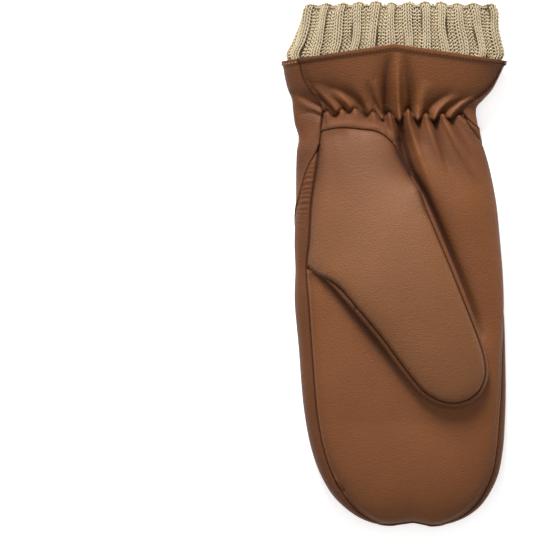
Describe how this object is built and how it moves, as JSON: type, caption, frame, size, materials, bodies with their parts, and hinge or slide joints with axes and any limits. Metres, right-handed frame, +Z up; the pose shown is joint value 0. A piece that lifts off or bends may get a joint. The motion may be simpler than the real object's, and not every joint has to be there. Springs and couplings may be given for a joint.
{
  "type": "mitten",
  "caption": "Right-hand leather mitten with a gathered elastic wrist, side gussets, a thumb folded over the palm and a knitted rib cuff.",
  "frame": {"origin": "middle of the bottom of the whole mitten, on the surface that it lies on", "axes": "+X towards the little finger side, +Y from the fingertips to the knitted cuff, +Z up out of the palm"},
  "size_m": [0.1204, 0.2784, 0.0394],
  "materials": {
    "leather": "smooth tan nappa leather with a soft sheen",
    "thumb_leather": "smooth tan nappa leather, a little lighter",
    "knit": "beige rib knit, matt"
  },
  "bodies": {
    "root": {"palm_panel": "leather", "back_panel": "leather", "thumb_side_gusset": "leather", "finger_side_gusset": "leather", "thumb_front": "thumb_leather", "thumb_underside": "leather", "knit_cuff": "knit"}
  },
  "joints": []
}
